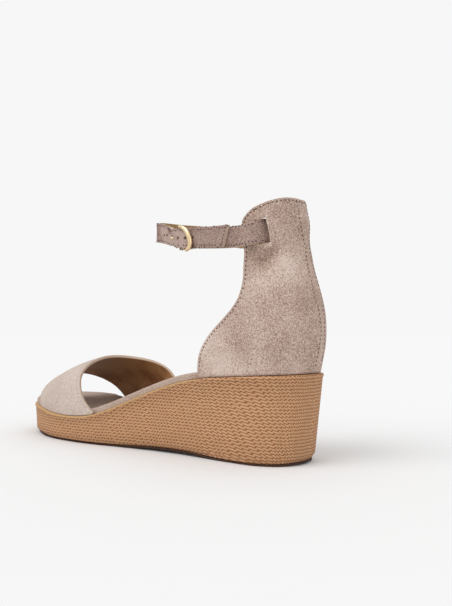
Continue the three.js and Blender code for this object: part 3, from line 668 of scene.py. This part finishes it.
SEAM_PITCH = 2.4 * MM
SEAM_INSET = 0.9 * MM
FAR_BEHIND = 1.0
FORWARD = Vector((0, -1, 0))
back_seams = []
for side in (-1, 1):
    last = None
    height = RIM_TOP
    while height < strip_edge[-1][0]:
        column = HEEL_MIDDLE.x + side * (strip_half(height) - SEAM_INSET) + min(side, 0) * STRIP_LEAN
        point, normal, _, _ = skin.ray_cast(Vector((column, FAR_BEHIND, height)), FORWARD)
        if last is not None:
            back_seams.append((point, (point - last).normalized(), normal))
        last = point
        height += SEAM_PITCH
stitches("back_seam_stitches", back_seams, length=1.4 * MM, thread=THREAD)

# Vamp
TOE_MIDDLE = Vector((0, -55, 10)) * MM


def from_toes(place):
    """Way out of the toes at a place, square to the foot's length."""
    out = place - TOE_MIDDLE
    out.y = 0
    return out.normalized()


vamp = own_mesh("suede_vamp", "vamp")
reshape(vamp, lambda bm: leather_sides(bm, from_toes, crease_value=0.55))
apply_modifier(vamp, "SUBSURF", levels=2, render_levels=2)
finish_mesh(vamp, LEATHER_FOLD, PALE_SUEDE, BROWN_LINING, CUT_EDGE)
# The vamp's lining is painted lighter in two patches inside the toe opening: painted light
VAMP_LINING_PAINTED_LIGHT = [((92, 366), (128, 360), 12, 0.3), ((150, 366), (168, 374), 6, 0.12)]
paint_light_and_shade(vamp, drawn(surface_of(vamp, (LINING,)), VAMP_LINING_PAINTED_LIGHT, 1.0))
VAMP_FOOT = 22 * MM
vamp_stitches = stitch_places(
    border_runs(vamp)[0],
    surface_of(vamp),
    inset=2.2 * MM,
    pitch=2.4 * MM,
    keep=lambda place: place.z > VAMP_FOOT,
)
stitches("vamp_stitches", vamp_stitches, length=1.3 * MM, thread=PALE_THREAD)

# Ankle strap
ANKLE_MIDDLE = Vector((0, 65, 0)) * MM


def from_ankle(place):
    """Level way out of the ankle at a place."""
    out = place - ANKLE_MIDDLE
    out.z = 0
    return out.normalized()


strap = own_mesh("suede_strap", "ankle_strap")
reshape(strap, lambda bm: leather_sides(bm, from_ankle, crease_value=0.0))
apply_modifier(strap, "BEVEL", width=0.35 * MM, segments=2, limit_method="ANGLE", angle_limit=SHARP)
apply_modifier(strap, "SUBSURF", subdivision_type="SIMPLE", levels=2, render_levels=2)

# The strap's front part is painted paler than its fold over the bar, as painted light, and sinks beside it;
# a dark line beside the fold is painted crease shadow, a pale line on the fold's edge is a painted
# highlight, and the strap is painted a little darker by the slit as painted shade
STRAP_CREASES = [((167.5, 231), (174, 249), 0.9, -1.0)]
STRAP_PAINTED_LIGHT_AND_SHADE = [
    ((152, 230), (162, 231), 3, 0.27),
    ((152, 241), (165, 242), 3, 0.27),
    ((168.8, 231), (175, 249), 1.1, -0.4),
    ((172, 230), (178, 249), 0.9, 0.12),
    ((262, 222), (266, 244), 2.0, -0.06),
]
strap_skin = surface_of(strap)
creases = drawn(strap_skin, STRAP_CREASES, MM)
nap_and_painted_light = drawn(strap_skin, STRAP_PAINTED_LIGHT_AND_SHADE, 1.0)
press(strap, from_ankle, creases)
paint_light_and_shade(strap, nap_and_painted_light)
finish_mesh(strap, CUT_CORNER, STRAP_SUEDE, TAN_LINING, CUT_EDGE)

# Punched holes ahead of the buckle, each drawn as a dark disc of painted shadow inside the hole
PUNCHED = [(158.9, 234.5), (164.4, 235.2)]
MARK_WIDTH = 1.3 * MM
marks = []
for pixel in PUNCHED:
    point, normal, _, _ = surface_of(strap).find_nearest(under_pixel(surface_of(strap), *pixel))
    marks.append((point, normal.cross(UP).normalized(), normal))
stitches(
    "strap_painted_hole_shadows", marks, length=MARK_WIDTH, thread=PAINTED_HOLE_SHADOW, width=MARK_WIDTH
)

# Footbed
footbed = own_mesh("suede_footbed", "footbed")
finish_mesh(footbed, CUT_CORNER, INSOLE_SUEDE)

# Wedge: braid below a narrow tape that shows at its rim ahead of the counter
TAPE_WIDTH = 1.2 * MM
TAPE_END = 50 * MM
TAPE_FADE = 10
LEVEL_FACE = 0.9
OUTLINE_BINS = 240
wedge = own_mesh("braided_wedge", "wedge")


def wrap(bm):
    """Lays the braid's map, in metres round the wedge and up from the floor, and marks the tape."""
    low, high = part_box("wedge")
    middle = (low + high) / 2
    half = (high - low) / 2

    def turn_of(place):
        return math.atan2((place.y - middle.y) / half.y, (place.x - middle.x) / half.x)

    # Outline seen from above: the farthest corner in each direction, then whole strands laid round it
    bins = [None] * OUTLINE_BINS
    for vertex in bm.verts:
        number = int((turn_of(vertex.co) / (2 * math.pi) + 0.5) * len(bins)) % len(bins)
        flat = Vector((vertex.co.x, vertex.co.y, 0))
        if bins[number] is None or (flat - middle).xy.length > (bins[number] - middle).xy.length:
            bins[number] = flat
    outline = sorted((place for place in bins if place), key=turn_of)
    outline.append(outline[0])
    lengths = [0.0]
    for a, b in zip(outline, outline[1:]):
        lengths.append(lengths[-1] + (b - a).length)
    stretch = round(lengths[-1] / STRAND_PITCH) * STRAND_PITCH / lengths[-1]
    turns = [turn_of(place) for place in outline]
    turns[-1] += 2 * math.pi

    def round_length(turn):
        turn += 2 * math.pi if turn < turns[0] else 0.0
        after = bisect.bisect_left(turns, turn, 1, len(turns) - 1)
        share = (turn - turns[after - 1]) / (turns[after] - turns[after - 1])
        return (lengths[after - 1] + (lengths[after] - lengths[after - 1]) * share) * stretch

    # The tape reaches down from the rim above each corner, and fades out beside the counter
    rim = [vertex.co for face in bm.faces if face.normal.z > LEVEL_FACE for vertex in face.verts]
    tree = KDTree(len(rim))
    for number, place in enumerate(rim):
        tree.insert(Vector((place.x, place.y, 0)), number)
    tree.balance()
    tape = bm.verts.layers.float.new("tape")
    for vertex in bm.verts:
        nearest = tree.find(Vector((vertex.co.x, vertex.co.y, 0)))[1]
        below_rim = rim[nearest].z - vertex.co.z
        vertex[tape] = TAPE_WIDTH - below_rim - max(0.0, vertex.co.y - TAPE_END) / TAPE_FADE
    uv = bm.loops.layers.uv.new("wrap")
    for face in bm.faces:
        around = [round_length(turn_of(loop.vert.co)) for loop in face.loops]
        for loop, length in zip(face.loops, around):
            across_seam = max(around) - length > lengths[-1] / 2
            loop[uv].uv = (length + (lengths[-1] * stretch if across_seam else 0.0), loop.vert.co.z)


reshape(wedge, wrap)
finish_mesh(wedge, CUT_CORNER, BRAID)

# Outsole and buckle
outsole = own_mesh("rubber_outsole", "outsole")
finish_mesh(outsole, SHEET_CORNER, SOLE_RUBBER)
ring = own_mesh("gilt_ring", "buckle_ring")
apply_modifier(ring, "SUBSURF", levels=1, render_levels=1)

# The ring's rear arc is a broader, rounder band than its bar
RING_SWELL = 0.85 * MM
ring_low, ring_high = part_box("buckle_ring")
ring_middle = (ring_low + ring_high) / 2
swelling = []
for vertex in ring.data.vertices:
    away = vertex.co - ring_middle
    away.x = 0
    rear = max(0.0, min(1.0, away.y / (ring_high.y - ring_middle.y)))
    away.normalize()
    out = away * max(0.0, vertex.normal.dot(away))
    out.x = max(0.0, vertex.normal.x)
    swelling.append(out * rear * RING_SWELL)
for vertex, step in zip(ring.data.vertices, swelling):
    vertex.co += step
finish_mesh(ring, NO_CORNER, GILT)
prong = own_mesh("gilt_prong", "buckle_prong")
finish_mesh(prong, LEATHER_FOLD, GILT)

# Strap stitches
SHORTEST_SEAM = 20 * MM
strap_stitches = []
for run in border_runs(strap):
    if run_length(run) > SHORTEST_SEAM:
        strap_stitches += stitch_places(
            run, strap_skin, inset=1.5 * MM, pitch=2.1 * MM, keep=lambda place: True
        )
stitches("strap_stitches", strap_stitches, length=1.25 * MM, thread=THREAD)

# Floor, an even pale studio, and two wide soft lamps
PAPER = "#F7F7F7"
scene = bpy.context.scene
scene.view_settings.view_transform = "Standard"
world = bpy.data.worlds.new("studio")
scene.world = world
world.use_nodes = True
sky = world.node_tree
sky.nodes["Background"].inputs["Color"].default_value = srgb(PAPER)

FLOOR_HALF = 30.0
floor_bm = bmesh.new()
bmesh.ops.create_grid(floor_bm, x_segments=1, y_segments=1, size=FLOOR_HALF)
floor_mesh = bpy.data.meshes.new("floor")
floor_bm.to_mesh(floor_mesh)
floor_bm.free()
floor = bpy.data.objects.new("floor", floor_mesh)
scene.collection.objects.link(floor)
floor_paper = material("white_paper", "#E2E2E2", roughness=0.9, Specular_IOR_Level=0.0)[0]
floor_mesh.materials.append(floor_paper)


def sun(name, energy, spread, travel):
    """A far lamp whose light travels a given way, spread over an angle in degrees."""
    data = bpy.data.lights.new(name, "SUN")
    data.energy = energy
    data.angle = math.radians(spread)
    lamp = bpy.data.objects.new(name, data)
    lamp.rotation_euler = Vector(travel).to_track_quat("-Z", "Y").to_euler()
    scene.collection.objects.link(lamp)


sun("key", energy=1.05, spread=40, travel=(-0.6, 0.25, -0.8))
sun("fill", energy=0.35, spread=60, travel=(-0.3, -0.8, -0.35))
